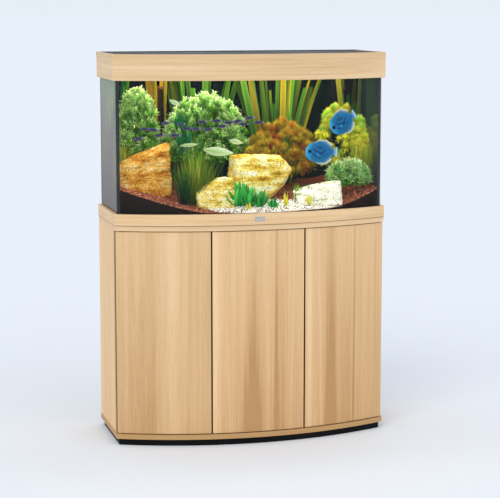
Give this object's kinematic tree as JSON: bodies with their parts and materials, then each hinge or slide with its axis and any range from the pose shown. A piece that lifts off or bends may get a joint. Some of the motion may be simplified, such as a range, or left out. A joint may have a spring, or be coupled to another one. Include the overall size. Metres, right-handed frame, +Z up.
{
  "type": "aquarium on stand",
  "caption": "Bow-front glass aquarium with a wood-decor hood, standing on a matching cabinet with curved hinged doors.",
  "frame": {"origin": "on the floor, under the middle of the bounding box", "axes": "+X to the viewer's right, the bowed front faces -Y, +Z up"},
  "size_m": [0.92, 0.4, 1.28],
  "materials": {
    "wood_decor": "light oak decor, satin",
    "back_board": "thin fibreboard",
    "black_board": "black laminated board",
    "fitting_steel": "plain",
    "latch_grey": "moulded",
    "bush_brass": "plain",
    "badge_grey": "blank plate",
    "tank_glass": "clear float glass",
    "silicone_black": "smooth bead",
    "background_blue": "dark film",
    "hood_black": "fine moulded grain",
    "lamp_white": "opal tube",
    "filter_black": "moulded",
    "sponge_blue": "open foam",
    "heater_dark": "smooth",
    "gravel_brown": "coarse grains",
    "sand_white": "pale grains with dark specks",
    "rock_ochre": "rough layered stone",
    "rock_white": "rough pale stone",
    "wood_root": "dark root",
    "plant_light": "soft leaves",
    "plant_green": "soft leaves",
    "plant_brown": "soft leaves",
    "plant_yellow": "soft leaves",
    "fish_blue": "scales"
  },
  "bodies": {
    "cabinet_and_tank": {"base_board": "wood_decor", "top_board": "wood_decor", "left_side_panel": "wood_decor", "right_side_panel": "wood_decor", "left_partition": "wood_decor", "right_partition": "wood_decor", "shelves": "wood_decor", "base_frame": "wood_decor", "hood_frame": "wood_decor", "back_panel": "back_board", "plinth": "black_board", "shelf_pins": "fitting_steel", "cabinet_screws": "fitting_steel", "lid_hinge_rods": "fitting_steel", "latch_housings": "latch_grey", "pivot_bushes": "bush_brass", "badge_plate": "badge_grey", "bottom_glass": "tank_glass", "back_glass": "tank_glass", "left_glass": "tank_glass", "right_glass": "tank_glass", "front_glass": "tank_glass", "silicone_seams": "silicone_black", "background_film": "background_blue", "hood_inner_frame": "hood_black", "light_bar": "hood_black", "led_tubes": "lamp_white", "filter_housing": "filter_black", "filter_pump": "filter_black", "filter_sponges": "sponge_blue", "heater_tube": "heater_dark", "gravel_bed": "gravel_brown", "sand_patch": "sand_white", "rock_left": "rock_ochre", "rock_low": "rock_ochre", "rock_centre": "rock_ochre", "rock_right": "rock_white", "wood_stem": "wood_root", "bush_left": "plant_light", "bush_middle": "plant_light", "low_bush_right": "plant_light", "tall_leaves": "plant_green", "hair_grass": "plant_green", "leaf_rosette": "plant_green", "brown_plants": "plant_brown", "yellow_plants": "plant_yellow", "discus_pair": "fish_blue", "tetra_school": "fish_blue"},
    "left_door": {"left_door": "wood_decor", "left_door_fittings": "fitting_steel"},
    "middle_door": {"middle_door": "wood_decor", "middle_door_fittings": "fitting_steel"},
    "right_door": {"right_door": "wood_decor", "right_door_fittings": "fitting_steel"},
    "left_latch_plunger": {"left_latch_plunger": "latch_grey"},
    "middle_latch_plunger": {"middle_latch_plunger": "latch_grey"},
    "right_latch_plunger": {"right_latch_plunger": "latch_grey"},
    "front_lid": {"front_lid": "hood_black"},
    "rear_lid": {"rear_lid": "hood_black"},
    "pump_nozzle": {"pump_nozzle": "filter_black"}
  },
  "joints": [
    {"name": "left_door_hinge", "type": "hinge", "parent": "cabinet_and_tank", "child": "left_door", "pos_m": [-0.4465, -0.09183, 0.375], "axis": [0, 0, -1], "range_deg": [0, 95]},
    {"name": "middle_door_hinge", "type": "hinge", "parent": "cabinet_and_tank", "child": "middle_door", "pos_m": [-0.145, -0.17736, 0.375], "axis": [0, 0, -1], "range_deg": [0, 95]},
    {"name": "right_door_hinge", "type": "hinge", "parent": "cabinet_and_tank", "child": "right_door", "pos_m": [0.4465, -0.09183, 0.375], "axis": [0, 0, 1], "range_deg": [0, 95]},
    {"name": "left_latch_push", "type": "slide", "parent": "cabinet_and_tank", "child": "left_latch_plunger", "axis": [0, 1, 0], "range_m": [0, 0.003], "stiffness_N_per_m": 300},
    {"name": "middle_latch_push", "type": "slide", "parent": "cabinet_and_tank", "child": "middle_latch_plunger", "axis": [0, 1, 0], "range_m": [0, 0.003], "stiffness_N_per_m": 300},
    {"name": "right_latch_push", "type": "slide", "parent": "cabinet_and_tank", "child": "right_latch_plunger", "axis": [0, 1, 0], "range_m": [0, 0.003], "stiffness_N_per_m": 300},
    {"name": "front_lid_hinge", "type": "hinge", "parent": "cabinet_and_tank", "child": "front_lid", "pos_m": [0, -0.003, 1.275], "axis": [-1, 0, 0], "range_deg": [0, 85]},
    {"name": "rear_lid_hinge", "type": "hinge", "parent": "cabinet_and_tank", "child": "rear_lid", "pos_m": [0, 0.063, 1.275], "axis": [1, 0, 0], "range_deg": [0, 85]},
    {"name": "pump_nozzle_swivel", "type": "hinge", "parent": "cabinet_and_tank", "child": "pump_nozzle", "pos_m": [0.3865, 0.112, 1.15], "axis": [0, -1, 0], "range_deg": [-60, 60]}
  ]
}
